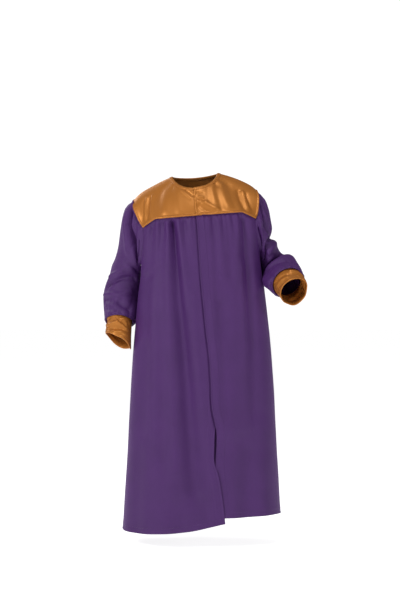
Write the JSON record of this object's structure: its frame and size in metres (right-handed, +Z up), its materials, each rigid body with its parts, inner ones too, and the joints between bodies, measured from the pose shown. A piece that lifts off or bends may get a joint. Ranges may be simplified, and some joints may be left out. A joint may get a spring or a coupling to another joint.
{
  "type": "gospel choir robe",
  "caption": "Hollow long choir robe with full front opening, satin yoke, gathered panels, puffed set-in sleeves and satin band cuffs, posed with one sleeve bent forward",
  "frame": {"origin": "middle of the neck's base between the shoulders, where the robe is held", "axes": "+X is the garment's left side, which is the right side of its front view; -Y is its front; +Z is up"},
  "size_m": [0.5128, 0.2744, 0.8989],
  "materials": {
    "purple_cloth": "matte to soft-sheen woven polyester, plain weave",
    "gold_satin": "smooth satin weave with a broad soft sheen"
  },
  "bodies": {
    "root": {"front_right": "purple_cloth", "front_left": "purple_cloth", "back": "purple_cloth", "sleeve_right": "purple_cloth", "sleeve_left": "purple_cloth", "yoke_front_right": "gold_satin", "yoke_front_left": "gold_satin", "yoke_back": "gold_satin", "neck_binding": "gold_satin", "cuff_right": "gold_satin", "cuff_left": "gold_satin"}
  },
  "joints": []
}
